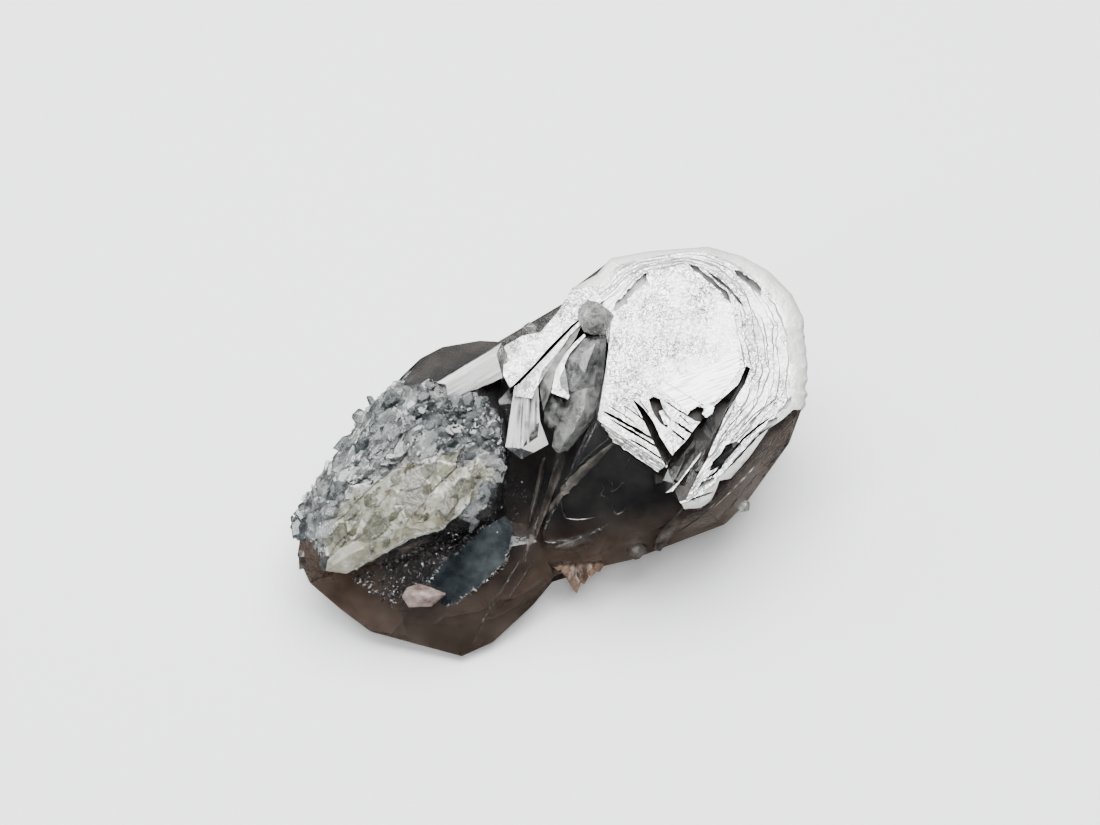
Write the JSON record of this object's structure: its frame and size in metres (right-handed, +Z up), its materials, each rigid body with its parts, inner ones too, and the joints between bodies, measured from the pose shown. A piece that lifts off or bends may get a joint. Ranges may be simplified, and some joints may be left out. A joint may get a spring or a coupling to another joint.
{
  "type": "quartz crystal cluster",
  "caption": "Intergrown cluster of smoky quartz crystals with a stepped pearly face, a rough pale crust and small clear crystals, cut flat to rest.",
  "frame": {"origin": "centre of the bounding box on the flat resting face, z = 0", "axes": "+X along the cluster's long axis from the crusted crystal to the stepped one, +Y away from the front, +Z up"},
  "size_m": [0.0344, 0.0198, 0.0172],
  "materials": {
    "smoky_quartz": "dark smoky quartz with glassy crystal faces, clearer and browner at thin edges",
    "pearly_face": "stepped crystal face with a bright pearly lustre, fine growth ledges and a faint grey speckle",
    "pale_crust": "rough crust of small slanting grey-white plates, with a smoother cream patch",
    "clear_quartz": "small clear to milky crystals with fine striations"
  },
  "bodies": {
    "root": {"quartz_cluster": "smoky_quartz"}
  },
  "joints": []
}
